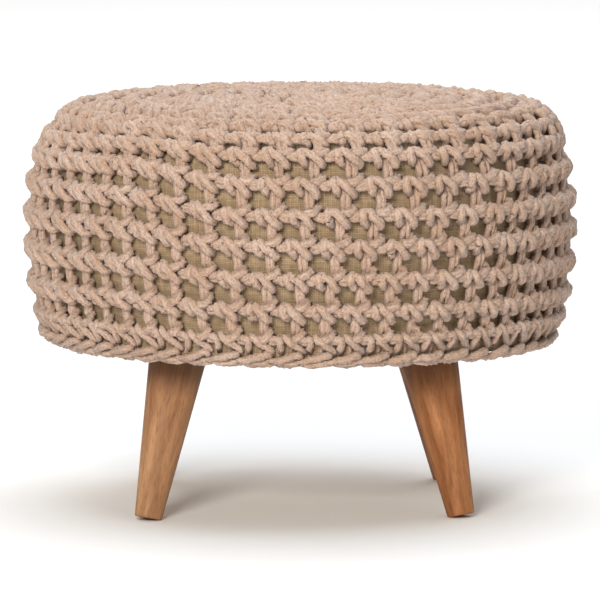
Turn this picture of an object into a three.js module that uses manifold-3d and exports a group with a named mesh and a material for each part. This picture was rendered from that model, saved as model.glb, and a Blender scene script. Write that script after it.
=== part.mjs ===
// Round footstool: a linen-covered pad in an open crocheted cord cover, on four splayed wooden legs.
// Millimetres, +Z up, standing on z = 0 with its axis on Z. The front faces -Y.
import * as THREE from 'three';
import { mergeVertices } from 'three/addons/utils/BufferGeometryUtils.js';
import manifoldModule from 'manifold-3d';

// The pad's half outline from the middle of its top, outwards and down. Each run is an arc that goes on
// in the direction the last one ended in; turn is how far it bends towards the floor.
const padRuns = [
  { run: 'crown', radius: 2750, turn: 4.2 },
  { run: 'shoulder', radius: 28, turn: 69 },
  { run: 'upper side', radius: 268, turn: 16.8 },
  { run: 'lower side', radius: 388, turn: 13.8 },
  { run: 'lower edge', radius: 12, turn: 76.2 },
];
const padTop = 358.5; // middle of the pad's top
// The pad lies inside this line, which the stitches are measured from, and comes out to it under the hem
const padSink = { depth: 5, from: 386, to: 404 };
const padSegments = 60;
const fitGap = 0.7; // cover to pad, at the cover's corners
const touchGap = 0.3; // leg to pad

// The cover's rounds, measured along the pad's outline, and how far they stand off that line
const topRounds = { count: 8, first: 22, pitch: 27.5, ridge: 11, groove: 7.5 };
const sideRounds = { count: 7, first: 232, pitch: 24.85, growth: 0.9, ridge: 11.4, post: 2 };
const stitchLump = 1; // how far a ridge swells over each post and sinks between
const ridgeShare = { shoulder: 0.23, crown: 0.1 }; // of the step to the next round
const columns = 36; // posts in a round, fewer and wider than the real ones
const postShare = 0.44; // of a column; the rest is open
const postLean = -5; // degrees from upright
// The hem's rolled edge, from the last round to its inner lip
const hem = [
  { past: 5.5, off: 8 },
  { past: 9.5, off: 7.5 },
  { past: 13, off: 10 },
  { past: 17, off: 10 },
  { past: 20.5, off: 9.2 },
  { past: 22.5, off: 4 },
];

const leg = {
  foot: 24.6, // diameter at the foot
  head: 55, // and at the pad
  length: 165,
  edge: 1.5, // rounding of the foot's rim
  splay: 14.9, // degrees, straight out from the axis
  lift: 1.4, // foot's middle above the floor: its inner rim is worn flat
  segments: 32,
};
// Middle of each foot, a few millimetres off square as the legs of the real stool are
const feet = {
  leg_front_left: [-138.5, -136],
  leg_front_right: [140, -126],
  leg_back_left: [-133, 116],
  leg_back_right: [139, 112],
};

const degrees = Math.PI / 180;

// Place on the pad's outline, s along it from the middle of the top, and off outwards from it
function padPoint(s, off = 0) {
  let [r, z, heading, left] = [0, padTop, 0, s];
  for (const { radius, turn } of padRuns) {
    const bend = Math.min(left / radius, turn * degrees);
    r += radius * (Math.sin(heading + bend) - Math.sin(heading));
    z -= radius * (Math.cos(heading) - Math.cos(heading + bend));
    heading += bend;
    left -= bend * radius;
    if (left <= 1e-9) break;
  }
  return { r: r + off * Math.sin(heading), z: z + off * Math.cos(heading) };
}

// How far the pad's surface lies inside that outline
const sink = (s) => padSink.depth * (1 - THREE.MathUtils.smoothstep(s, padSink.from, padSink.to));

const runLength = ({ radius, turn }) => radius * turn * degrees;
const padLength = padRuns.reduce((sum, run) => sum + runLength(run), 0);
const underside = padPoint(padLength).z;

// Ridges of the cover's rounds along the outline
const topRidges = Array.from({ length: topRounds.count }, (_, i) => topRounds.first + i * topRounds.pitch);
const sideRidges = Array.from({ length: sideRounds.count },
  (_, i) => sideRounds.first + i * sideRounds.pitch + (i * (i - 1) / 2) * sideRounds.growth);

// Rows of openings: each lies between two ridges, from the upper one's foot to the lower one's head
const openRows = [topRidges.at(-1), ...sideRidges].slice(0, -1).map((ridge, i) => {
  const step = sideRidges[i] - ridge;
  return { from: ridge + step * ridgeShare.shoulder, to: sideRidges[i] - step * ridgeShare.shoulder, step };
});

// Stations of the cover's outer face: along the outline, height off it, and the row that opens below
function outerStations() {
  const stations = [{ s: 0, off: topRounds.groove }];
  for (const ridge of topRidges.slice(0, -1)) {
    const groove = ridge + topRounds.pitch / 2;
    stations.push({ s: ridge, off: topRounds.ridge }, { s: groove, off: topRounds.groove });
  }
  stations.push({ s: topRidges.at(-1), off: topRounds.ridge, lump: stitchLump });
  openRows.forEach((row, i) => {
    const ridge = sideRidges[i];
    const below = openRows[i + 1]?.step ?? row.step;
    stations.push({ s: row.from, off: sideRounds.post, opens: i }, { s: row.to, off: sideRounds.post });
    for (const s of [ridge - row.step * ridgeShare.crown, ridge + below * ridgeShare.crown]) {
      stations.push({ s, off: sideRounds.ridge, lump: stitchLump });
    }
  });
  for (const { past, off } of hem) stations.push({ s: sideRidges.at(-1) + past, off });
  return stations;
}

// Stations of its inner face, which the pad's outline shares so that the two run side by side
function innerStations() {
  const stations = [0, 70, 140, runLength(padRuns[0])].map((s) => ({ s }));
  openRows.forEach((row, i) => {
    stations.push({ s: row.from, opens: i }, { s: row.to });
  });
  const last = sideRidges.at(-1);
  for (const past of [5, 10.5, 14, 18, 22.5]) stations.push({ s: last + past });
  return stations.map((station) => ({ ...station, off: fitGap - sink(station.s) }));
}

// The cover: an outer and an inner skin on a lattice of rounds and column edges, joined round each opening
// and along the hem. Every second stretch between column edges is open in the open rows.
function coverGeometry() {
  const lines = columns * 2;
  const positions = [];
  const triangles = [];
  const place = ({ s, off, lump = 0 }) => {
    const first = positions.length / 3;
    if (s === 0) {
      positions.push(0, 0, padPoint(s, off).z);
      return { pole: first };
    }
    const shift = Math.tan(postLean * degrees) * (s - sideRidges[3]) / padPoint(sideRidges[3]).r;
    for (let j = 0; j < lines; j += 1) {
      const column = Math.floor(j / 2) + (j % 2 ? postShare : 0);
      const angle = column / columns * 2 * Math.PI + shift;
      const { r, z } = padPoint(s, off + (j % 2 ? -lump : lump));
      positions.push(r * Math.cos(angle), r * Math.sin(angle), z);
    }
    return { first };
  };
  const at = (ring, j) => ring.pole ?? ring.first + (j % lines);
  const quad = (a, b, c, d) => triangles.push(a, b, c, a, c, d);
  const skin = (stations, outwards) => {
    const rings = stations.map(place);
    for (let i = 0; i + 1 < rings.length; i += 1) {
      const [upper, lower] = [rings[i], rings[i + 1]];
      for (let j = 0; j < lines; j += 1) {
        if (stations[i].opens !== undefined && j % 2) continue;
        const [k, l] = outwards ? [j, j + 1] : [j + 1, j];
        if (upper.pole !== undefined) triangles.push(upper.pole, at(lower, k), at(lower, l));
        else quad(at(upper, k), at(lower, k), at(lower, l), at(upper, l));
      }
    }
    return rings;
  };
  const [outer, inner] = [outerStations(), innerStations()];
  const [outerRings, innerRings] = [skin(outer, true), skin(inner, false)];
  openRows.forEach((_, i) => {
    const o = outer.findIndex(({ opens }) => opens === i);
    const n = inner.findIndex(({ opens }) => opens === i);
    const [top, topIn, foot, footIn] = [outerRings[o], innerRings[n], outerRings[o + 1], innerRings[n + 1]];
    for (let j = 1; j < lines; j += 2) {
      quad(at(top, j), at(foot, j), at(footIn, j), at(topIn, j));
      quad(at(foot, j + 1), at(top, j + 1), at(topIn, j + 1), at(footIn, j + 1));
      quad(at(top, j + 1), at(top, j), at(topIn, j), at(topIn, j + 1));
      quad(at(foot, j), at(foot, j + 1), at(footIn, j + 1), at(footIn, j));
    }
  });
  const [lip, lipIn] = [outerRings.at(-1), innerRings.at(-1)];
  for (let j = 0; j < lines; j += 1) quad(at(lip, j + 1), at(lip, j), at(lipIn, j), at(lipIn, j + 1));
  const geometry = new THREE.BufferGeometry();
  geometry.setAttribute('position', new THREE.Float32BufferAttribute(positions, 3));
  geometry.setIndex(triangles);
  geometry.computeVertexNormals();
  return geometry;
}

// A solid of revolution about Z from a half outline of [radius, height] points that starts and ends on Z
function turned(outline, segments) {
  const points = outline.map(([r, z]) => new THREE.Vector2(r, z));
  return new THREE.LatheGeometry(points, segments).rotateX(Math.PI / 2);
}

function padGeometry() {
  const ends = [padLength, ...innerStations().map(({ s }) => s)].sort((a, b) => b - a);
  const outline = ends.map((s) => padPoint(s, -sink(s))).map(({ r, z }) => [r, z]);
  return turned([[0, underside], ...outline], padSegments);
}

const wasm = await manifoldModule();
wasm.setup();

function solid(geometry) {
  const bare = geometry.clone();
  for (const name of ['normal', 'uv']) bare.deleteAttribute(name);
  const merged = mergeVertices(bare, 1e-4);
  return new wasm.Manifold(new wasm.Mesh({
    numProp: 3,
    vertProperties: new Float32Array(merged.attributes.position.array),
    triVerts: new Uint32Array(merged.index.array),
  }));
}

function geometryOf(body) {
  const mesh = body.getMesh();
  const geometry = new THREE.BufferGeometry();
  geometry.setAttribute('position', new THREE.BufferAttribute(mesh.vertProperties, 3));
  geometry.setIndex(new THREE.BufferAttribute(mesh.triVerts, 1));
  geometry.computeVertexNormals();
  return geometry;
}

// A leg in the stool's frame: a cone tilted straight out from the axis, cut level at the floor and the pad
function legGeometry(footX, footY) {
  const [foot, head] = [leg.foot / 2, leg.head / 2];
  const cone = turned([
    [0, 0], [foot - leg.edge, 0], [foot, leg.edge], [head, leg.length], [0, leg.length],
  ], leg.segments);
  const outwards = new THREE.Vector3(footX, footY, 0).normalize();
  const axis = new THREE.Vector3(0, 0, 1).multiplyScalar(Math.cos(leg.splay * degrees))
    .addScaledVector(outwards, -Math.sin(leg.splay * degrees));
  const turn = new THREE.Quaternion().setFromUnitVectors(new THREE.Vector3(0, 0, 1), axis);
  cone.applyQuaternion(turn).translate(footX, footY, leg.lift);
  const height = underside - touchGap;
  const slab = new THREE.BoxGeometry(800, 800, height).translate(0, 0, height / 2);
  return geometryOf(solid(cone).intersect(solid(slab)));
}

const looks = {
  linen: { color: '#a38c6c', roughness: 0.95, metalness: 0 },
  cord: { color: '#cdb19e', roughness: 0.9, metalness: 0 },
  wood: { color: '#a4714b', roughness: 0.5, metalness: 0 },
};

const stool = new THREE.Group();
function add(name, geometry, look) {
  const mesh = new THREE.Mesh(geometry, new THREE.MeshStandardMaterial(looks[look]));
  mesh.name = name;
  stool.add(mesh);
}

add('seat_pad', padGeometry(), 'linen');
add('crochet_cover', coverGeometry(), 'cord');
for (const [name, [footX, footY]] of Object.entries(feet)) add(name, legGeometry(footX, footY), 'wood');

export default stool;
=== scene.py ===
import bpy
import numpy as np
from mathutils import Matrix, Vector


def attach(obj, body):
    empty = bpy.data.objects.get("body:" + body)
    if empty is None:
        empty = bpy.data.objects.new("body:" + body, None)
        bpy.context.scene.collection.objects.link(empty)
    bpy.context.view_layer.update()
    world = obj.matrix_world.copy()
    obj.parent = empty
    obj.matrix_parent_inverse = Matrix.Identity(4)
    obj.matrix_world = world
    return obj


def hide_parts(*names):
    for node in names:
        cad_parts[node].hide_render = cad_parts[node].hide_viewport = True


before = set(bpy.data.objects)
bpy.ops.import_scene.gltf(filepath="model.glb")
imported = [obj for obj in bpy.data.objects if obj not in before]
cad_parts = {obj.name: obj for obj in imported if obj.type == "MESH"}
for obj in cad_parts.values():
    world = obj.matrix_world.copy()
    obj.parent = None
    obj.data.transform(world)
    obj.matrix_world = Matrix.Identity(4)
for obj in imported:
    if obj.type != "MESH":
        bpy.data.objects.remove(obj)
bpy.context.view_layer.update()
print("frame loaded:", ", ".join(sorted(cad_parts)))

mm = 0.001
frontAngle = -np.pi / 2
backAngle = np.pi / 2
uneven = np.random.default_rng(11)  # seeded, so that every run crochets the same stitches


def linear(code):  # sRGB hex to the linear colour that shaders take
    channels = np.array([int(code[i:i + 2], 16) for i in (1, 3, 5)]) / 255
    bright = ((channels + 0.055) / 1.055) ** 2.4
    return (*np.where(channels <= 0.04045, channels / 12.92, bright).tolist(), 1.0)


def addNode(material, kind, inputs=None, **settings):
    # One node: settings go on it, an input that is a socket is linked and any other is set
    tree = material.node_tree
    node = tree.nodes.new("ShaderNode" + kind)
    for name, value in settings.items():
        setattr(node, name, value)
    for name, value in (inputs or {}).items():
        if isinstance(value, bpy.types.NodeSocket):
            tree.links.new(value, node.inputs[name])
        else:
            node.inputs[name].default_value = value
    return node


def newMaterial(name):
    material = bpy.data.materials.new(name)
    material.use_nodes = True
    material.node_tree.nodes.clear()
    return material


mixFrom, mixTo, mixed = 6, 7, 2  # a Mix node's colour sockets, by number because others share their names


def makePiece(name, points, quads, uv, material):
    # points (n, 3) in metres, quads (m, 4) of point numbers, uv (m, 4, 2) along the cloth or the cord
    mesh = bpy.data.meshes.new(name)
    mesh.vertices.add(len(points))
    mesh.vertices.foreach_set("co", points.astype(np.float32).ravel())
    mesh.loops.add(quads.size)
    mesh.loops.foreach_set("vertex_index", quads.astype(np.int32).ravel())
    mesh.polygons.add(len(quads))
    mesh.polygons.foreach_set("loop_start", np.arange(0, quads.size, 4, dtype=np.int32))
    mesh.update(calc_edges=True)
    mesh.uv_layers.new(name="cloth").uv.foreach_set("vector", uv.astype(np.float32).ravel())
    mesh.shade_smooth()
    mesh.materials.append(material)
    piece = bpy.data.objects.new(name, mesh)
    bpy.context.scene.collection.objects.link(piece)
    return piece


def smoothStep(x):  # 0 to 1 with soft ends
    x = np.clip(x, 0, 1)
    return x * x * (3 - 2 * x)


# The pad's half outline, from the middle of its top outwards and down round its lower edge
padOutline = {
    "top": 358.5,  # mm above the floor
    "radius": [2750, 28, 268, 388, 12],  # mm: crown, shoulder, upper side, lower side, lower edge
    "turn": [4.2, 69, 16.8, 13.8, 76.2],  # degrees that each arc bends towards the floor
}
arcRadius = np.array(padOutline["radius"], float)
arcTurn = np.radians(padOutline["turn"])
arcStart = np.concatenate([[0], np.cumsum(arcRadius * arcTurn)])  # mm along the outline
arcHeading = np.concatenate([[0], np.cumsum(arcTurn)])
arcOut = np.concatenate([[0], np.cumsum(arcRadius * np.diff(np.sin(arcHeading)))])
arcUp = padOutline["top"] + np.concatenate([[0], np.cumsum(arcRadius * np.diff(np.cos(arcHeading)))])


def padPlace(along, off):
    # Place `along` the outline and `off` outwards from it, mm. Each arc goes on in the direction in which
    # the last one ended: the sines and cosines of the heading, times the arc's radius, give the step.
    arc = np.clip(np.searchsorted(arcStart, along, side="right") - 1, 0, len(arcRadius) - 1)
    heading = arcHeading[arc] + (along - arcStart[arc]) / arcRadius[arc]
    out = arcOut[arc] + arcRadius[arc] * (np.sin(heading) - np.sin(arcHeading[arc]))
    up = arcUp[arc] + arcRadius[arc] * (np.cos(heading) - np.cos(arcHeading[arc]))
    return out + off * np.sin(heading), up + off * np.cos(heading)


shoulderSlump = {
    "depth": 7,  # mm by which the pad's left shoulder has settled
    "along": 223,  # mm along the outline
    "width": 22,
}


def onPad(angle, along, off):
    # The same place turned about the stool's axis, in metres. The left shoulder has settled in a soft
    # hollow, a bell curve along the outline that is deepest at the left and gone at the front and the back.
    away = (along - shoulderSlump["along"]) / shoulderSlump["width"]
    slump = shoulderSlump["depth"] * np.exp(-away**2) * np.clip(-np.cos(angle), 0, 1)**2
    out, up = padPlace(along, off - slump)
    return np.stack([out * np.cos(angle), out * np.sin(angle), up], -1) * mm


# The cover is one spiral of stitches, from the middle of the top to the hem. It runs from left to right
# across the front, and its whole turns end at the back.
rounds = {
    "topRidges": [22, 48.5, 75, 101.5, 128, 154.5, 181, 207.5, 221.5],  # mm along the outline, at the front
    "sideRidges": [234, 258.5, 285.2, 311.3, 339.5, 367, 394.5],
    "stitches": [4, 8, 13, 19, 25, 31, 36, 41, 44, 45, 46, 47, 49, 52, 54, 55, 55],  # from front to front
    "columns": [-9, -4, 0, 4, 8],  # stitches, counted from a round's front, whose places are given below
    "places": [  # degrees right of the front, for the last nine rounds
        [-68, -28.9, 2.8, 36.5, 76], [-67, -28.7, 2.3, 35.5, 75], [-66, -28.7, 1.9, 34.4, 72.5],
        [-62.7, -28.7, 1, 33, 68.5], [-61.4, -28.7, -0.2, 30.1, 61.3], [-61.1, -28.3, -1, 27.4, 55.9],
        [-60.4, -28.7, -1.4, 25.1, 52.5], [-60.7, -29.6, -2.2, 23.5, 50.2],
        [-61.5, -30.4, -3.1, 22.6, 48.7]],
    "front": 3,  # degrees, the same for stitch 0 of the rounds above those
    "stagger": 0.38,  # of a stitch, by which each of those rounds is set over from the last
    "evenOver": 5,  # stitches whose widths are averaged
    "shift": 0.1,  # of a stitch, by which a stitch hangs left of the one above
    "twins": 0.2,  # of a stitch, by which two that hang from the same one stand left and right of it
    "follow": 0.45,  # share of the way from there to straight above its own foot
    "topDip": 0,  # share of a turn's drop that is taken at the front left: on the top
    "sideDip": 0.5,  # on the shoulder and the upper side
    "lastDips": [0.45, 0.3, 0.15, 0.05, 0],  # in each of the last turns
    "dipFrom": 0.885,  # of a turn, from the front
    "dipWidth": 0.08,
    "sag": 6,  # mm by which the side's rounds hang lower at the left edge
    "sagAt": 0.74,  # of a turn, from the front
    "sagWidth": 0.1,
    "start": 6,  # mm along the outline, at the front, where the spiral begins
    "startTurn": -0.4,  # turns, before which no stitch is hung
    "startHead": 4,  # mm along the outline, where the stitches of the first turn begin
    "end": 6,  # mm below the last ridge, a turn later
}
ridges = np.array([rounds["start"]] + rounds["topRidges"] + rounds["sideRidges"], float)
ridges = np.append(ridges, ridges[-1] + rounds["end"])
topCount = len(rounds["topRidges"])
dips = np.full(len(ridges) - 1, float(rounds["sideDip"]))
dips[:topCount - 1] = rounds["topDip"]
dips[-len(rounds["lastDips"]):] = rounds["lastDips"]
sags = np.where(np.arange(len(dips)) < topCount, 0, rounds["sag"])


def spiralAlong(turn):
    # mm along the outline after so many turns: a steady drop with a dip at the front left, and a sag, a bell
    # curve, at the left edge
    row = np.clip(np.floor(turn + 0.5).astype(int), 0, len(ridges) - 2)
    fromFront = turn + 0.5 - row
    dip = dips[row]
    part = (1 - dip) * fromFront + dip * smoothStep((fromFront - rounds["dipFrom"]) / rounds["dipWidth"])
    sag = sags[row] * np.exp(-((fromFront - rounds["sagAt"]) / rounds["sagWidth"])**2)
    return ridges[row] + (ridges[row + 1] - ridges[row]) * part + sag


def turnAngle(turn):  # the front is half a turn before every whole one
    return frontAngle + 2 * np.pi * (turn - 0.5)


# Stitches are numbered along the spiral. Between the places that are given they are evenly spaced.
perTurn = np.array(rounds["stitches"])
frontStitch = np.concatenate([[0], np.cumsum(perTurn)])  # stitch 0 of every round
freeRounds = len(perTurn) - len(rounds["places"])  # those with no places but their front
givenColumns = np.array(rounds["columns"])
givenRounds = np.arange(freeRounds, len(perTurn))
markStitch = np.concatenate([
    frontStitch[:freeRounds], (frontStitch[freeRounds:-1, None] + givenColumns).ravel(), frontStitch[-1:]])
stagger = (rounds["stagger"] * np.arange(freeRounds) % 1 - 0.5) * 360 / perTurn[:freeRounds]
markPlace = np.concatenate([rounds["front"] + stagger, np.ravel(rounds["places"])])
markRound = np.concatenate([np.arange(freeRounds), np.repeat(givenRounds, len(givenColumns))])
markTurn = np.append(markRound - 0.5 + markPlace / 360, len(perTurn) - 0.5)
lastStitch = int(np.interp(len(perTurn) - 1, markTurn, markStitch))
stitchTurn = np.interp(np.arange(lastStitch + 1), markStitch, markTurn)
averaged = np.full(rounds["evenOver"], 1 / rounds["evenOver"])
widths = np.pad(np.gradient(stitchTurn), rounds["evenOver"] // 2, "edge")
stitchPitch = np.convolve(widths, averaged, "valid")  # in turns

# One stitch as the strands of cord that show. Each row is a point of a strand: across in stitches, up from
# the stitch's own chain (0) to the chain above it (1), off the pad in mm, and the cord's radius there in mm.
stitchStrands = {
    "loop": np.array([  # from behind the post up its left side, over the chain above, down its right and in
        (-.02, .60, -4.0, 1.9), (-.07, .605, -2.4, 2.6), (-.125, .63, .4, 3.4), (-.165, .67, 3.0, 3.9),
        (-.205, .735, 5.2, 4.1), (-.24, .805, 6.8, 4.15), (-.265, .87, 8.0, 4.15), (-.285, .95, 8.7, 4.1),
        (-.275, 1.02, 8.5, 4.0), (-.225, 1.06, 7.0, 3.7), (-.165, 1.065, 7.0, 3.7), (-.10, 1.03, 8.6, 3.95),
        (-.02, .965, 9.6, 4.1), (.07, .88, 9.9, 4.2), (.16, .78, 9.2, 4.2), (.24, .68, 7.6, 4.1),
        (.29, .61, 5.2, 4.0), (.30, .60, 2.4, 3.9), (.285, .64, -.6, 3.7), (.25, .67, -3.6, 3.4)]),
    "chain": np.array([  # upper cord of the chain above, which goes in under the loop
        (-.73, .84, 3.6, 1.4), (-.64, .875, 5.0, 2.5), (-.55, .915, 6.2, 3.2), (-.46, .95, 7.0, 3.6),
        (-.38, .965, 7.0, 3.7), (-.30, .945, 5.8, 3.4)]),
    "leaf": np.array([  # its lower cord
        (-.71, .825, 3.0, 1.4), (-.62, .82, 4.2, 2.4), (-.53, .825, 5.2, 3.1), (-.44, .83, 5.6, 3.4),
        (-.36, .83, 4.8, 3.2), (-.28, .82, 3.2, 2.6)]),
    "post": np.array([  # one cord, bent round at the foot, so that two lie side by side
        (-.03, .98, -1.6, 2.3), (-.01, .84, -.4, 2.6), (.015, .65, .8, 3.0), (.028, .40, 1.4, 3.1),
        (.03, .15, 1.2, 3.0), (.045, -.03, -.4, 2.7), (.095, -.09, -1.6, 2.4), (.145, -.03, -.4, 2.7),
        (.16, .15, 1.2, 3.0), (.163, .40, 1.4, 3.1), (.155, .65, .8, 3.0), (.11, .84, -.4, 2.6),
        (.08, .98, -1.6, 2.3)]),
    "bar": np.array([  # cord that comes round the post's foot and lies across it
        (.06, .24, -2.6, 2.2), (.18, .25, -1.4, 2.8), (.28, .23, .8, 3.5), (.335, .165, 3.6, 3.9),
        (.30, .10, 6.0, 4.1), (.21, .055, 7.4, 4.15), (.11, .02, 8.0, 4.15), (.01, -.015, 7.8, 4.1),
        (-.08, -.045, 6.8, 3.9), (-.16, -.06, 5.2, 3.5), (-.22, -.05, 3.4, 3.0)]),
}
cord = {
    "sides": 6,  # the caps below are drawn for six
    "rings": {"loop": 31, "chain": 7, "leaf": 7, "post": 15, "bar": 11, "left": 10, "legs": 12, "inner": 6,
              "under": 6, "plait": 14, "edge": 7, "lip": 7},
    "unevenPlace": 0.02,  # of a stitch
    "unevenOff": 0.45,  # mm
    "unevenRadius": 0.04,
    "lobes": 0.05,  # share by which every second side stands out
    "lay": 26,  # mm along the cord in which its plies go once round
}


def smoothWeights(knots, count):
    # A smooth curve through the knots: each of `count` samples is a cubic blend of the four knots round it
    place = np.linspace(0, knots - 1, count)
    first = np.clip(place.astype(int), 0, knots - 2)
    x = place - first
    blend = np.stack([
        -x + 2 * x**2 - x**3, 2 - 5 * x**2 + 3 * x**3, x + 4 * x**2 - 3 * x**3, x**3 - x**2]) / 2
    weights = np.zeros((count, knots))
    for step in range(4):
        np.add.at(weights, (np.arange(count), np.clip(first + step - 1, 0, knots - 1)), blend[step])
    return weights


def sweepCords(path, radius):
    # A round section carried along many paths at once: path (cords, rings, 3) and radius (cords, rings), in
    # metres. The section's upright is the last ring's, made square to the path again, so that it only turns
    # with the lay of the plies: once round in so many mm of length.
    cords, rings, _ = path.shape
    sides = cord["sides"]
    tangent = np.gradient(path, axis=1)
    tangent /= np.linalg.norm(tangent, axis=-1, keepdims=True)
    upright = np.cross(tangent[:, 0], np.roll(tangent[:, 0], 1, axis=-1))
    uprights = []
    for ring in range(rings):
        upright = upright - (upright * tangent[:, ring]).sum(-1, keepdims=True) * tangent[:, ring]
        upright = upright / np.linalg.norm(upright, axis=-1, keepdims=True)
        uprights.append(upright)
    upright = np.stack(uprights, 1)
    across = np.cross(tangent, upright)
    step = np.linalg.norm(np.diff(path, axis=1), axis=-1)
    length = np.concatenate([np.zeros((cords, 1)), np.cumsum(step, 1)], 1)
    side = np.arange(sides)
    turn = 2 * np.pi * (side / sides + length[..., None] / (cord["lay"] * mm))
    reach = radius[..., None] * (1 + cord["lobes"] * np.cos(np.pi * side))
    points = path[:, :, None] + reach[..., None] * (
        np.cos(turn)[..., None] * upright[:, :, None] + np.sin(turn)[..., None] * across[:, :, None])
    # Quads of one cord: its wall, then two over each end
    ring, edge = [grid.ravel() for grid in np.meshgrid(np.arange(rings - 1), side, indexing="ij")]
    after = (edge + 1) % sides
    wall = np.stack([ring * sides + edge, ring * sides + after,
                     (ring + 1) * sides + after, (ring + 1) * sides + edge], 1)
    cap = np.stack([[0, 1, 2, 3], [0, 3, 4, 5]])
    quads = np.concatenate([wall, cap[:, ::-1], (rings - 1) * sides + cap])
    wallRound = np.stack([edge, edge + 1, edge + 1, edge], 1)
    quadRound = np.concatenate([wallRound, cap[:, ::-1], cap]) / sides
    quadAlong = length[:, quads // sides]
    uv = np.stack([quadAlong, np.broadcast_to(quadRound, quadAlong.shape)], -1)  # m along, turns round
    firstPoint = np.arange(cords)[:, None, None] * rings * sides
    return points.reshape(-1, 3), (quads + firstPoint).reshape(-1, 4), uv.reshape(-1, 4, 2)


def joinCords(parts):  # several sweeps as one mesh
    counts = np.cumsum([0] + [len(points) for points, _, _ in parts])
    points = np.concatenate([points for points, _, _ in parts])
    quads = np.concatenate([quads + first for (_, quads, _), first in zip(parts, counts)])
    return points, quads, np.concatenate([uv for _, _, uv in parts])


# On the top the cords lie flatter and closer than on the side
crown = {
    "flat": 0.62,  # share of the relief that is pressed out
    "level": 7,  # mm off the outline, to which it is pressed
    "dome": 3,  # mm by which every stitch stays higher in its middle than at its sides
    "middle": -0.2,  # of a stitch, across
    "fat": 0.22,  # share by which the cords are thicker
    "until": 5,  # turns, from where this fades at the front
    "behind": 1.6,  # turns by which it lasts longer at the back
    "fade": 3.6,  # turns
}
# Posts come out where two rounds lie close together, and at the sides and the back, where the cover is
# looser
postLift = {
    "close": 13,  # mm, where no room is left between two rounds
    "closeUnder": 26,  # mm between rounds, from where it begins
    "loose": 3,  # mm at the sides and the back
    "looseFrom": 50,  # degrees from the front
    "looseWidth": 30,
}


def liftPosts(foot, head):
    # mm off the pad: more the closer the two rounds are, and a soft step from the front to the sides
    close = np.clip(1 - (foot[1] - head[1]) / postLift["closeUnder"], 0, 1)
    fromFront = np.degrees(np.arccos(np.cos(foot[0] - frontAngle)))
    loose = smoothStep((fromFront - postLift["looseFrom"]) / postLift["looseWidth"])
    return postLift["close"] * close + postLift["loose"] * loose


def workStrand(kind, strand, foot, head, pitch, slope, pressed):
    # Puts a strand on every stitch: it goes across by the pitch and up from the foot to the head, each of
    # which is (angle, mm along the outline), with a little unevenness at every knot. Where it is pressed,
    # its height goes most of the way to a level that is domed over each stitch.
    count = len(pitch)
    knots = np.repeat(strand[None], count, 0)
    knots[..., :2] += uneven.normal(0, cord["unevenPlace"], (count, len(strand), 2))
    knots[..., 2] += uneven.normal(0, cord["unevenOff"], (count, len(strand)))
    knots[..., 3] *= 1 + uneven.normal(0, cord["unevenRadius"], (count, 1))
    samples = np.einsum("sk,ckv->csv", smoothWeights(len(strand), cord["rings"][kind]), knots)
    across, up, off, radius = np.moveaxis(samples, -1, 0)
    level = crown["level"] + crown["dome"] * (0.5 - (2 * (across - crown["middle"]))**2)
    off = off + crown["flat"] * pressed[:, None] * (level - off)
    radius = radius * (1 + crown["fat"] * pressed[:, None])
    if kind == "post":
        off = off + (liftPosts(foot, head) * (1 - pressed))[:, None]
    angle = foot[0][:, None] + (head[0] - foot[0])[:, None] * up + across * pitch[:, None]
    along = foot[1][:, None] + (head[1] - foot[1])[:, None] * up + across * slope[:, None]
    return sweepCords(onPad(angle, along, off), radius * mm)


# Every stitch hangs from one in the round above, a little left of it. Across the front they hang one to one;
# at the back, where rounds grow, two share one now and then.
stitchCount = len(stitchTurn)
numbers = np.arange(stitchCount)
ends = givenColumns[[0, -1]]
childMarks = np.concatenate([
    frontStitch[1:freeRounds + 1], (frontStitch[freeRounds + 1:-1, None] + ends).ravel()])
parentMarks = np.concatenate([frontStitch[:freeRounds], (frontStitch[freeRounds:-2, None] + ends).ravel()])
parent = np.rint(np.interp(numbers, childMarks, parentMarks)).astype(int)
parent = np.where(numbers > childMarks[-1], numbers - perTurn[-1], parent)
hung = numbers >= frontStitch[1]
twins = parent[1:] == parent[:-1]
apart = rounds["twins"] * (np.append(False, twins).astype(int) - np.append(twins, False))
nudge = (apart - rounds["shift"]) * stitchPitch[parent]
drift = rounds["follow"] * (stitchTurn - 1 - stitchTurn[parent])
headTurn = np.where(hung, stitchTurn[parent] + nudge + drift, stitchTurn - 1)
hungAlong = spiralAlong(np.maximum(headTurn, rounds["startTurn"]))
foot = (turnAngle(stitchTurn), spiralAlong(stitchTurn))
head = (turnAngle(headTurn + 1), np.where(hung, hungAlong, rounds["startHead"]))
pitchAngle = 2 * np.pi * stitchPitch
slope = spiralAlong(stitchTurn + stitchPitch / 2) - spiralAlong(stitchTurn - stitchPitch / 2)
pressedUntil = crown["until"] + crown["behind"] * np.clip(np.sin(foot[0]), 0, 1)
pressed = 1 - smoothStep((stitchTurn - pressedUntil) / crown["fade"])
print("stitches in the spiral:", stitchCount)


def spiralCords(fromTurn, toTurn):
    chosen = (stitchTurn >= fromTurn) & (stitchTurn < toTurn)
    return joinCords([
        workStrand(kind, strand, [v[chosen] for v in foot], [v[chosen] for v in head],
                   pitchAngle[chosen], slope[chosen], pressed[chosen])
        for kind, strand in stitchStrands.items()])


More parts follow.
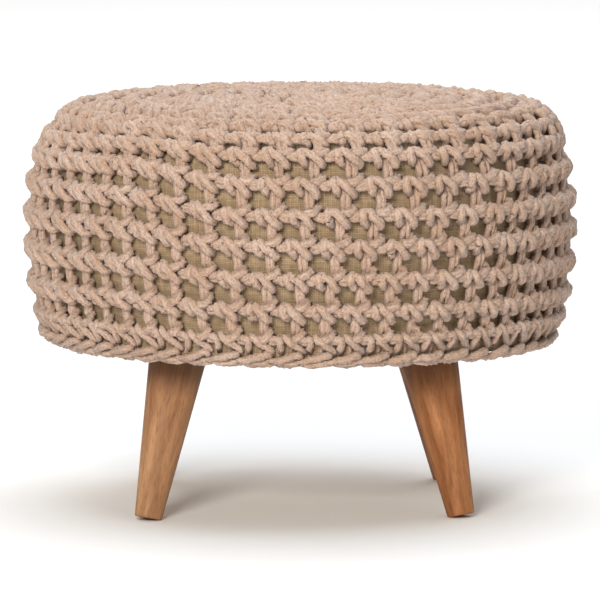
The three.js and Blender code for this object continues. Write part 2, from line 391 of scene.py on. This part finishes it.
# The hem: short stitches into the last round, then one chain of long slanted leaves with a tucked-in edge
hem = {
    "along": 409.5,  # mm along the outline at the front
    "tilt": 2,  # mm lower at the right than at the front
    "sides": 2.5,  # mm lower at both sides
    "frame": 15,  # mm, the height that the chain's own strands are drawn in
}
hemStrands = {
    "left": np.array([  # chain above and left leg
        (-.80, .91, 1.0, 1.6), (-.70, .95, 4.5, 2.4), (-.58, 1.01, 7.2, 3.1), (-.46, 1.06, 8.6, 3.4),
        (-.36, 1.07, 9.0, 3.5), (-.29, .98, 8.6, 3.5), (-.265, .76, 7.0, 3.4), (-.25, .46, 4.6, 3.3),
        (-.23, .12, 2.4, 2.9)]),
    "leaf": stitchStrands["leaf"],
    "legs": np.array([  # right leg, over the chain and down to the hem
        (.55, .10, 2.4, 2.8), (.49, .27, 4.4, 3.2), (.35, .46, 6.0, 3.5), (.19, .66, 7.6, 3.6),
        (.05, .86, 8.8, 3.7), (-.07, 1.04, 9.2, 3.7), (-.15, 1.15, 7.6, 3.2), (-.18, 1.18, 5.0, 2.8)]),
    "inner": np.array([  # post behind the legs
        (.04, .95, -2, 2.8), (.09, .60, -1.2, 3.2), (.13, .30, -.4, 3.3), (.15, 0, .2, 3.2),
        (.15, -.3, .8, 2.8)]),
    "under": np.array([  # post between two stitches
        (-.56, .85, -2.2, 2.8), (-.51, .55, -1.6, 3.2), (-.47, .25, -1, 3.2), (-.44, 0, .2, 3.2),
        (-.43, -.3, .8, 2.8)]),
}
hemChain = {
    "plait": np.array([  # one slanted leaf
        (-.68, -.20, 6.0, 1.7), (-.50, -.15, 7.6, 2.7), (-.27, -.08, 8.8, 3.5), (-.03, .0, 9.4, 3.9),
        (.20, .07, 9.2, 4.0), (.37, .10, 7.8, 3.6), (.44, .02, 5.4, 3.0), (.34, -.16, 3.8, 2.6)]),
    "edge": np.array([  # the cord below it
        (.46, -.18, 6.4, 2.6), (.20, -.25, 7.2, 3.3), (-.08, -.30, 7.4, 3.4), (-.36, -.31, 6.6, 3.2),
        (-.62, -.28, 5.0, 2.4)]),
    "lip": np.array([  # and the one that is tucked in
        (.62, -.36, 5.0, 2.4), (.36, -.42, 6.0, 3.0), (.08, -.46, 6.4, 3.1), (-.20, -.47, 6.0, 3.0),
        (-.46, -.44, 4.6, 2.4)]),
}


def hemCords():
    # One hem stitch hangs from every stitch of the last turn. The hem's line is lower by the sine of the
    # angle from the front, and again by that sine squared; the slope is what this changes over a stitch.
    above = numbers[stitchTurn >= len(perTurn) - 2]
    aboveTurn = stitchTurn[above] - rounds["shift"] * stitchPitch[above]
    angle = turnAngle(aboveTurn - rounds["shift"] * stitchPitch[above])
    pitch = pitchAngle[above]
    past = angle - frontAngle
    along = hem["along"] + hem["tilt"] * np.sin(past) + hem["sides"] * np.sin(past)**2
    slopeHere = (hem["tilt"] * np.cos(past) + hem["sides"] * np.sin(2 * past)) * pitch
    unpressed = np.zeros(len(above))
    lastRound = (turnAngle(aboveTurn), spiralAlong(aboveTurn))
    chainTop = (angle, along - hem["frame"])
    parts = [workStrand(kind, strand, (angle, along), top, pitch, slopeHere, unpressed)
             for strands, top in ((hemStrands, lastRound), (hemChain, chainTop))
             for kind, strand in strands.items()]
    return joinCords(parts)


# Soft cotton cord, spun in plies and never bleached: matt, with a faint bloom of fibres at its edges, the
# plies as slanted furrows with painted shade in them and between the fibres, and pinkish beige that changes
# a little from stretch to stretch
cordFinish = {
    "pale": "#cfb6a7",
    "deep": "#c1a28d",
    "patch": 34,  # mm between paler and deeper stretches
    "patchRange": (0.3, 0.7),  # of the noise, from pale to deep
    "plies": 6,
    "plyShare": 0.09,  # of the plies in the depth, beside the fibres
    "girth": 20,  # mm round the cord
    "fibre": 1.5,  # mm across, coarser than real fibres so that they show
    "strand": 6,  # mm along
    "fuzz": 1.7,  # mm, grain of the loose fibres, coarse enough to show
    "fuzzShare": 1.4,  # of the fuzz in the depth
    # painted shade: the tone that the cord is darkened to in its ply furrows and between its fibres
    "furrowShadeTone": "#9c7a62",
    "furrowShadeRange": (0.12, 0.68),  # of the depth, from the deepest furrow to none
    "furrowShadeMost": 0.85,
    "relief": 0.6,  # mm
    "reliefStrength": 0.8,
    "roughness": 0.92,
    "sheen": 0.2,
    "sheenRoughness": 0.5,
}


def cottonCord():
    material = newMaterial("cottonCord")
    place = addNode(material, "TexCoord")
    patches = addNode(material, "TexNoise", {
        "Vector": place.outputs["Object"], "Scale": 1 / (cordFinish["patch"] * mm), "Detail": 3.0})
    patchLow, patchHigh = cordFinish["patchRange"]
    spread = addNode(material, "MapRange", {
        "Value": patches.outputs["Fac"], "From Min": patchLow, "From Max": patchHigh})
    tone = addNode(material, "Mix", {
        "Factor": spread.outputs[0], mixFrom: linear(cordFinish["pale"]), mixTo: linear(cordFinish["deep"])},
        data_type="RGBA")
    # the plies: a wave over the length and the girth of the cord
    cloth = addNode(material, "UVMap", uv_map="cloth")
    split = addNode(material, "SeparateXYZ", {"Vector": cloth.outputs[0]})
    lay = addNode(material, "Math", {
        0: split.outputs["X"], 1: 1 / (cord["lay"] * mm), 2: split.outputs["Y"]}, operation="MULTIPLY_ADD")
    turn = addNode(material, "Math", {
        0: lay.outputs[0], 1: 2 * np.pi * cordFinish["plies"]}, operation="MULTIPLY")
    wave = addNode(material, "Math", {0: turn.outputs[0]}, operation="COSINE")
    # the fibres: noise drawn out along the plies
    run = addNode(material, "Math", {
        0: split.outputs["X"], 1: 1 / (cordFinish["strand"] * mm)}, operation="MULTIPLY")
    girth = addNode(material, "Math", {
        0: lay.outputs[0], 1: cordFinish["girth"] / cordFinish["fibre"]}, operation="MULTIPLY")
    fibrePlace = addNode(material, "CombineXYZ", {
        "X": run.outputs[0], "Y": girth.outputs[0], "Z": patches.outputs["Fac"]})
    fibres = addNode(material, "TexNoise", {"Vector": fibrePlace.outputs[0], "Scale": 1.0, "Detail": 3.0})
    strands = addNode(material, "Math", {
        0: wave.outputs[0], 1: cordFinish["plyShare"], 2: fibres.outputs["Fac"]}, operation="MULTIPLY_ADD")
    # the fuzz lifts and lowers them by the same amount
    fuzz = addNode(material, "TexNoise", {
        "Vector": place.outputs["Object"], "Scale": 1 / (cordFinish["fuzz"] * mm), "Detail": 2.0})
    lifted = addNode(material, "Math", {
        0: fuzz.outputs["Fac"], 1: cordFinish["fuzzShare"], 2: -cordFinish["fuzzShare"] / 2},
        operation="MULTIPLY_ADD")
    depth = addNode(material, "Math", {0: strands.outputs[0], 1: lifted.outputs[0]}, operation="ADD")
    # painted shade: where the relief is low, in the ply furrows and between the fibres, the colour goes
    # towards the furrow tone
    furrowShadeLow, furrowShadeHigh = cordFinish["furrowShadeRange"]
    shade = addNode(material, "MapRange", {
        "Value": depth.outputs[0], "From Min": furrowShadeLow, "From Max": furrowShadeHigh,
        "To Min": cordFinish["furrowShadeMost"], "To Max": 0.0})
    colour = addNode(material, "Mix", {
        "Factor": shade.outputs[0], mixFrom: tone.outputs[mixed], mixTo: linear(cordFinish["furrowShadeTone"])},
        data_type="RGBA")
    relief = addNode(material, "Bump", {
        "Height": depth.outputs[0], "Strength": cordFinish["reliefStrength"],
        "Distance": cordFinish["relief"] * mm})
    shader = addNode(material, "BsdfPrincipled", {
        "Base Color": colour.outputs[mixed], "Roughness": cordFinish["roughness"],
        "Normal": relief.outputs[0], "Sheen Weight": cordFinish["sheen"],
        "Sheen Roughness": cordFinish["sheenRoughness"]})
    addNode(material, "OutputMaterial", {"Surface": shader.outputs[0]})
    return material


coverTurns = {  # turns of the spiral in each piece
    "coverTop": (-1, 6),
    "coverShoulder": (6, 10),
    "coverUpper": (10, 13),
    "coverLower": (13, 17),
}
cordMaterial = cottonCord()
coverPieces = {name: spiralCords(*turns) for name, turns in coverTurns.items()}
coverPieces["coverHem"] = hemCords()
for name, (points, quads, uv) in coverPieces.items():
    piece = makePiece(name, points, quads, uv, cordMaterial)
    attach(piece, "root")
    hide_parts("crochet_cover")
    print(name, "triangles:", 2 * len(quads))

# The pad: its outline turned about the axis, pressed in a little under the rounds and swelling between them
linenPad = {
    "topEdge": 190,  # mm along the outline, up to which few rows do
    "topRows": 40,
    "rows": 170,  # from there on
    "columns": 360,
    "depth": 5,  # mm from the line of the cover's stitches
    "edge": [386, 404],  # mm along the outline between which it comes out to that line, under the hem
    "pressed": 0.6,  # mm deeper under a round
    "swell": 0.8,  # mm between rounds
    "width": 6,  # mm, half of what a round presses
    "flatFrom": 12,  # mm before the underside, over which that fades
    "bulge": 2.4,  # mm by which it fills the hem
    "bulgeAt": 416,  # mm along the outline
    "bulgeWidth": 6,
    "seam": 224,  # mm along the outline, where the side band is sewn to the top
    "underSeam": 418,
}


def padGrid():
    # A grid of rows along the outline and columns round the axis, from the back. Its height off the outline
    # is the swell, less a bell curve under every round, plus one behind the hem, less the pad's depth, which
    # goes softly to nothing under the hem.
    topEdge = linenPad["topEdge"]
    topAlong = np.linspace(0, topEdge, linenPad["topRows"])[1:]
    along = np.concatenate([topAlong, np.linspace(topEdge, arcStart[-1], linenPad["rows"])[1:]])
    part = np.arange(linenPad["columns"]) / linenPad["columns"]
    alongGrid, partGrid = np.meshgrid(along, part, indexing="ij")
    angleGrid = 2 * np.pi * partGrid + backAngle
    off = np.full_like(alongGrid, linenPad["swell"])
    for turn in range(len(perTurn) - 1):
        away = (alongGrid - spiralAlong(partGrid + turn)) / linenPad["width"]
        off -= (linenPad["pressed"] + linenPad["swell"]) * np.exp(-away**2)
    off *= np.clip((arcStart[-1] - alongGrid) / linenPad["flatFrom"], 0, 1)
    off += linenPad["bulge"] * np.exp(-((alongGrid - linenPad["bulgeAt"]) / linenPad["bulgeWidth"])**2)
    edgeFrom, edgeTo = linenPad["edge"]
    off -= linenPad["depth"] * (1 - smoothStep((alongGrid - edgeFrom) / (edgeTo - edgeFrom)))
    grid = onPad(angleGrid, alongGrid, off)
    rows, columns = alongGrid.shape
    middleTop = onPad(np.zeros(1), np.zeros(1), -np.full(1, linenPad["depth"]))
    middleUnder = np.array([[0, 0, grid[-1, 0, 2]]])
    points = np.concatenate([grid.reshape(-1, 3), middleTop, middleUnder])
    row, column = [v.ravel() for v in np.meshgrid(np.arange(rows - 1), np.arange(columns), indexing="ij")]
    after = (column + 1) % columns
    wall = np.stack([row * columns + column, (row + 1) * columns + column,
                     (row + 1) * columns + after, row * columns + after], 1)
    # the two middles are closed by quads that each take in two columns
    pair = np.arange(0, columns, 2)
    last = (rows - 1) * columns
    topFan = np.stack([np.full_like(pair, rows * columns), pair, pair + 1, (pair + 2) % columns], 1)
    underFan = np.stack([np.full_like(pair, rows * columns + 1), last + (pair + 2) % columns,
                         last + pair + 1, last + pair], 1)
    quads = np.concatenate([wall, topFan, underFan])
    # the cloth's threads: flat over the top and the underside, round and down on the side band
    alongAll = np.concatenate([alongGrid.ravel(), [0, arcStart[-1]]])[quads]
    turned = np.concatenate([angleGrid.ravel(), [0, 0]])[quads]
    turned[:len(column)][column == columns - 1, 2:] += 2 * np.pi
    girth = padPlace(np.array([arcStart[3]]), 0)[0][0] * mm
    band = np.stack([turned * girth, -alongAll * mm], -1)
    flat = points[quads][..., :2]
    onFlat = (alongAll.mean(1) < linenPad["seam"]) | (alongAll.mean(1) > linenPad["underSeam"])
    return points, quads, np.where(onFlat[:, None, None], flat, band)


# Undyed linen in a plain weave: every thread a little different in thickness and tone, matt, with painted
# shade between the threads
linenFinish = {
    "pale": "#c0a788",
    "deep": "#9c8364",
    "toneRange": (0.65, 1.35),  # of both threads' noise, from deep to pale
    # painted shade: the dark tone between the threads
    "between": "#715b41",
    "betweenShadeRange": (0.35, 0.9),  # of the height, from between the threads to their backs
    "thread": 1.6,  # mm from thread to thread, coarser than the real ones so that they show
    "overUnder": 0.2,  # share of a thread's height that goes up and down
    "slub": 14,  # mm, length of a thicker stretch of thread
    "slubScale": 0.73,
    "slubApart": 7.0,  # puts the slubs of the two sets of threads in different noise
    "relief": 0.4,  # mm
    "reliefStrength": 0.6,
    "roughness": 0.9,
    "sheen": 0.1,
}


def plainLinen():
    material = newMaterial("plainLinen")
    cloth = addNode(material, "UVMap", uv_map="cloth")
    inThreads = addNode(material, "VectorMath", {
        0: cloth.outputs[0], 1: (1 / (linenFinish["thread"] * mm),) * 3}, operation="MULTIPLY")
    split = addNode(material, "SeparateXYZ", {"Vector": inThreads.outputs[0]})
    heights = []
    tones = []
    for own, other, wave, apart in (("X", "Y", "SINE", linenFinish["slubApart"]), ("Y", "X", "COSINE", 0.0)):
        # a thread's round back, its slubs, and its way over and under
        halfTurns = addNode(material, "Math", {0: split.outputs[own], 1: np.pi}, operation="MULTIPLY")
        swing = addNode(material, "Math", {0: halfTurns.outputs[0]}, operation="SINE")
        back = addNode(material, "Math", {0: swing.outputs[0]}, operation="ABSOLUTE")
        number = addNode(material, "Math", {0: split.outputs[own]}, operation="FLOOR")
        along = addNode(material, "Math", {
            0: split.outputs[other], 1: linenFinish["thread"] / linenFinish["slub"]}, operation="MULTIPLY")
        where = addNode(material, "CombineXYZ", {"X": number.outputs[0], "Y": along.outputs[0], "Z": apart})
        slubs = addNode(material, "TexNoise", {
            "Vector": where.outputs[0], "Scale": linenFinish["slubScale"], "Detail": 1.0})
        weave = addNode(material, "Math", {0: number.outputs[0], 1: split.outputs[other]}, operation="ADD")
        crossing = addNode(material, "Math", {0: weave.outputs[0], 1: np.pi}, operation="MULTIPLY")
        overUnder = addNode(material, "Math", {0: crossing.outputs[0]}, operation=wave)
        lifted = addNode(material, "Math", {
            0: overUnder.outputs[0], 1: linenFinish["overUnder"], 2: 1 - linenFinish["overUnder"]},
            operation="MULTIPLY_ADD")
        height = addNode(material, "Math", {0: back.outputs[0], 1: lifted.outputs[0]}, operation="MULTIPLY")
        heights.append(addNode(material, "Math", {
            0: height.outputs[0], 1: slubs.outputs["Fac"], 2: height.outputs[0]}, operation="MULTIPLY_ADD"))
        tones.append(slubs)
    height = addNode(material, "Math", {
        0: heights[0].outputs[0], 1: heights[1].outputs[0]}, operation="MAXIMUM")
    toneSum = addNode(material, "Math", {
        0: tones[0].outputs["Fac"], 1: tones[1].outputs["Fac"]}, operation="ADD")
    toneLow, toneHigh = linenFinish["toneRange"]
    toneSpread = addNode(material, "MapRange", {
        "Value": toneSum.outputs[0], "From Min": toneLow, "From Max": toneHigh})
    threads = addNode(material, "Mix", {
        "Factor": toneSpread.outputs[0], mixFrom: linear(linenFinish["deep"]),
        mixTo: linear(linenFinish["pale"])}, data_type="RGBA")
    # painted shade: where the weave is low, between the threads, the colour goes to the dark tone
    backLow, backHigh = linenFinish["betweenShadeRange"]
    shown = addNode(material, "MapRange", {
        "Value": height.outputs[0], "From Min": backLow, "From Max": backHigh})
    colour = addNode(material, "Mix", {
        "Factor": shown.outputs[0], mixFrom: linear(linenFinish["between"]), mixTo: threads.outputs[mixed]},
        data_type="RGBA")
    relief = addNode(material, "Bump", {
        "Height": height.outputs[0], "Strength": linenFinish["reliefStrength"],
        "Distance": linenFinish["relief"] * mm})
    shader = addNode(material, "BsdfPrincipled", {
        "Base Color": colour.outputs[mixed], "Roughness": linenFinish["roughness"],
        "Normal": relief.outputs[0], "Sheen Weight": linenFinish["sheen"]})
    addNode(material, "OutputMaterial", {"Surface": shader.outputs[0]})
    return material


padPiece = makePiece("linenPad", *padGrid(), plainLinen())
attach(padPiece, "root")
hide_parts("seat_pad")
print("linen pad made")

# The legs: turned cones that lean outwards, square at the foot, with the inner rim worn flat on the floor
legs = {
    "foot": 24.6,  # mm across
    "head": 55,
    "length": 165,
    "rim": 1.8,  # rounding of the foot
    "feet": {  # middle of each foot, mm, a little off square
        "leg_front_left": (-138.5, -136), "leg_front_right": (140, -126),
        "leg_back_left": (-133, 116), "leg_back_right": (139, 112)},
    "splay": 14.9,  # degrees
    "lift": 1.4,  # the foot's middle above the floor
    "top": 151.8,  # where the legs end under the pad
    "sides": 48,
    "rings": 30,
    "rimRings": 6,
    "inset": 0.5,  # of the radius, where each flat end has a ring
}


def legGrid(footX, footY):
    # Lines run up the cone from the rim of the foot. Each is cut where it meets the level top, and a ring
    # joins the same part of every line. The rim is a quarter round, and a point stands in the middle of each
    # end.
    angle = 2 * np.pi * np.arange(legs["sides"]) / legs["sides"]
    upwards = np.array([0, 0, 1])
    outwards = np.array([footX, footY, 0]) / np.hypot(footX, footY)
    lean = np.radians(legs["splay"])
    axis = np.cos(lean) * upwards - np.sin(lean) * outwards
    across = np.cos(lean) * outwards + np.sin(lean) * upwards
    sideways = np.cross(axis, across)
    start = np.array([footX, footY, legs["lift"]])
    spoke = np.cos(angle)[:, None] * across + np.sin(angle)[:, None] * sideways
    taper = (legs["head"] - legs["foot"]) / 2 / legs["length"]
    line = axis + taper * spoke
    rim = np.linspace(0, np.pi / 2, legs["rimRings"])
    rimOut = legs["foot"] / 2 - legs["rim"] * (1 - np.sin(rim))
    rimUp = legs["rim"] * (1 - np.cos(rim))
    footRings = start + rimOut[:, None, None] * spoke + rimUp[:, None, None] * axis
    ready = footRings[-1]
    reach = (legs["top"] - ready[:, 2]) / line[:, 2]
    share = np.linspace(0, 1, legs["rings"])[1:]
    wall = ready + share[:, None, None] * reach[:, None] * line
    inset = start + legs["inset"] * rimOut[0] * spoke
    head = legs["inset"] * wall[-1] + (1 - legs["inset"]) * wall[-1].mean(0)
    grid = np.concatenate([inset[None], footRings, wall, head[None]])
    rings, sides = grid.shape[:2]
    points = np.concatenate([grid.reshape(-1, 3), start[None], head.mean(0)[None]])
    # in the leg's own directions, for the grain that runs along it
    own = (points - start) @ np.stack([across, sideways, axis], 1)
    points[:, 2] = np.maximum(points[:, 2], 0)
    ring, side = [v.ravel() for v in np.meshgrid(np.arange(rings - 1), np.arange(sides), indexing="ij")]
    after = (side + 1) % sides
    walls = np.stack([ring * sides + side, ring * sides + after,
                      (ring + 1) * sides + after, (ring + 1) * sides + side], 1)
    pair = np.arange(0, sides, 2)
    last = (rings - 1) * sides
    footFan = np.stack([np.full_like(pair, rings * sides), (pair + 2) % sides, pair + 1, pair], 1)
    headFan = np.stack([np.full_like(pair, rings * sides + 1), last + pair, last + pair + 1,
                        last + (pair + 2) % sides], 1)
    quads = np.concatenate([walls, footFan, headFan])
    uv = np.stack([own[..., 0], own[..., 2]], -1)[quads] * mm
    return points * mm, quads, uv, own * mm


# Oiled hardwood, turned and sanded: golden brown, with darker pores and streaks along the leg, a soft
# shine, and painted shade at its upper end, where the hem keeps the light off
woodFinish = {
    "streak": 9,  # mm between streaks, across the grain
    "streakRange": (0.3, 0.7),  # of the noise, from the deep tone to the pale one
    "pore": 1.2,  # mm between pores, across the grain
    "poreTone": "#5d3a20",
    "poreRange": (0.3, 0.5),  # of the noise, from the darkest pore to none
    "poreMost": 0.35,
    "along": 9,  # times longer along the grain
    "shadeTone": "#3f2413",
    "shadeRange": (106, 140),  # mm up the leg between which it darkens, where the hem keeps the light off
    "shadeMost": 0.68,
    "roughness": (0.52, 0.66),  # from deep streaks to pale ones
    "relief": 0.3,  # mm
    "reliefStrength": 0.15,
    "specular": 0.25,
}
legTones = {  # pale, deep, and where in the wood the leg was cut, m
    "leg_front_left": ("#b98b64", "#8b5f3f", 0.0),
    "leg_front_right": ("#b67c50", "#824e29", 3.0),
    "leg_back_left": ("#ab7c54", "#76492c", 6.0),
    "leg_back_right": ("#ad774c", "#774826", 9.0),
}


def oiledWood(name, pale, deep, cut):
    material = newMaterial(name)
    grain = addNode(material, "Attribute", attribute_name="grain")
    moved = addNode(material, "Mapping", {
        "Vector": grain.outputs["Vector"], "Location": (cut, cut / 3, 0),
        "Scale": (1, 1, 1 / woodFinish["along"])})
    streaks = addNode(material, "TexNoise", {
        "Vector": moved.outputs[0], "Scale": 1 / (woodFinish["streak"] * mm), "Detail": 4.0,
        "Distortion": 0.6})
    streakLow, streakHigh = woodFinish["streakRange"]
    streakSpread = addNode(material, "MapRange", {
        "Value": streaks.outputs["Fac"], "From Min": streakLow, "From Max": streakHigh})
    body = addNode(material, "Mix", {
        "Factor": streakSpread.outputs[0], mixFrom: linear(deep), mixTo: linear(pale)}, data_type="RGBA")
    pores = addNode(material, "TexNoise", {
        "Vector": moved.outputs[0], "Scale": 1 / (woodFinish["pore"] * mm), "Detail": 2.0})
    poreLow, poreHigh = woodFinish["poreRange"]
    poreSpread = addNode(material, "MapRange", {
        "Value": pores.outputs["Fac"], "From Min": poreLow, "From Max": poreHigh,
        "To Min": woodFinish["poreMost"], "To Max": 0.0})
    colour = addNode(material, "Mix", {
        "Factor": poreSpread.outputs[0], mixFrom: body.outputs[mixed],
        mixTo: linear(woodFinish["poreTone"])}, data_type="RGBA")
    # painted shade of the hem on the leg's upper end, by its height along the grain
    height = addNode(material, "SeparateXYZ", {"Vector": grain.outputs["Vector"]})
    shadeLow, shadeHigh = woodFinish["shadeRange"]
    shade = addNode(material, "MapRange", {
        "Value": height.outputs["Z"], "From Min": shadeLow * mm, "From Max": shadeHigh * mm,
        "To Min": 0.0, "To Max": woodFinish["shadeMost"]}, interpolation_type="SMOOTHSTEP")
    shaded = addNode(material, "Mix", {
        "Factor": shade.outputs[0], mixFrom: colour.outputs[mixed],
        mixTo: linear(woodFinish["shadeTone"])}, data_type="RGBA")
    roughLow, roughHigh = woodFinish["roughness"]
    roughness = addNode(material, "MapRange", {
        "Value": streaks.outputs["Fac"], "To Min": roughLow, "To Max": roughHigh})
    relief = addNode(material, "Bump", {
        "Height": pores.outputs["Fac"], "Strength": woodFinish["reliefStrength"],
        "Distance": woodFinish["relief"] * mm})
    shader = addNode(material, "BsdfPrincipled", {
        "Base Color": shaded.outputs[mixed], "Roughness": roughness.outputs[0], "Normal": relief.outputs[0],
        "Specular IOR Level": woodFinish["specular"]})
    addNode(material, "OutputMaterial", {"Surface": shader.outputs[0]})
    return material


for name, (pale, deep, cut) in legTones.items():
    points, quads, uv, own = legGrid(*legs["feet"][name])
    legName = name.title().replace("_", "")
    piece = makePiece("wood" + legName, points, quads, uv, oiledWood("oiledWood" + legName, pale, deep, cut))
    grainPlace = piece.data.attributes.new("grain", "FLOAT_VECTOR", "POINT")
    grainPlace.data.foreach_set("vector", own.astype(np.float32).ravel())
    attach(piece, "root")
    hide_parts(name)
print("legs made")

# Stage: a pale floor, a white room and three large soft lights
stage = {
    "floor": 60,  # m across
    "floorTones": ("#f7f7f6", "#fbfbfb"),
    "floorCloud": 2.5,  # m between the two tones
    "floorRoughness": 0.8,
    "world": 0.28,
    "lights": [  # place, aim, width in metres, watts, tint
        ("key", (-0.75, -2.85, 1.4), (0, 0, 0.22), 0.9, 71, "#fffaf0"),
        ("overhead", (0.2, 0.1, 3.2), (0, 0, 0.3), 3.0, 63, "#f1f8ff"),
        ("backdrop", (0, 5.5, 4.0), (0, 5.5, 0), 8.0, 300, "#ffffff"),
    ],
}


def paleFloor():  # smooth painted board, matt, hardly clouded
    material = newMaterial("paleFloor")
    place = addNode(material, "TexCoord")
    cloud = addNode(material, "TexNoise", {
        "Vector": place.outputs["Object"], "Scale": 1 / stage["floorCloud"], "Detail": 2.0})
    duller, brighter = stage["floorTones"]
    colour = addNode(material, "Mix", {
        "Factor": cloud.outputs["Fac"], mixFrom: linear(duller), mixTo: linear(brighter)}, data_type="RGBA")
    shader = addNode(material, "BsdfPrincipled", {
        "Base Color": colour.outputs[mixed], "Roughness": stage["floorRoughness"]})
    addNode(material, "OutputMaterial", {"Surface": shader.outputs[0]})
    return material


half = stage["floor"] / 2
corners = np.array([(-half, -half, 0), (half, -half, 0), (half, half, 0), (-half, half, 0)])
floorPiece = makePiece("studioFloor", corners, np.array([[0, 1, 2, 3]]), corners[None, :, :2], paleFloor())

room = bpy.data.worlds.new("whiteRoom")
room.use_nodes = True
background = room.node_tree.nodes["Background"]
background.inputs["Color"].default_value = (1, 1, 1, 1)
background.inputs["Strength"].default_value = stage["world"]
bpy.context.scene.world = room


def placeAndAim(name, data, place, aim):  # a light or camera that looks from one place at another
    thing = bpy.data.objects.new(name, data)
    thing.location = place
    thing.rotation_euler = (Vector(aim) - Vector(place)).to_track_quat("-Z", "Y").to_euler()
    bpy.context.scene.collection.objects.link(thing)
    return thing


for name, place, aim, width, watts, tint in stage["lights"]:
    lamp = bpy.data.lights.new(name, "AREA")
    lamp.size = width
    lamp.energy = watts
    lamp.color = linear(tint)[:3]
    placeAndAim(name, lamp, place, aim)

view = {
    "distance": 5.444,  # m from the axis
    "height": 0.798,
    "turn": -1.56,  # degrees from straight ahead, to the left
    "aim": 0.1806,  # m above the floor
    "lens": 362.3,  # mm
    "sensor": 36,  # mm across
    "far": 200,  # m that it sees
}
camera = bpy.data.cameras.new("photoCamera")
camera.lens = view["lens"]
camera.sensor_width = view["sensor"]
camera.clip_end = view["far"]
viewTurn = np.radians(view["turn"])
viewPlace = (view["distance"] * np.sin(viewTurn), -view["distance"] * np.cos(viewTurn), view["height"])
bpy.context.scene.camera = placeAndAim("photoCamera", camera, viewPlace, (0, 0, view["aim"]))
bpy.context.scene.view_settings.view_transform = "Standard"
print("stage, lights and camera set")
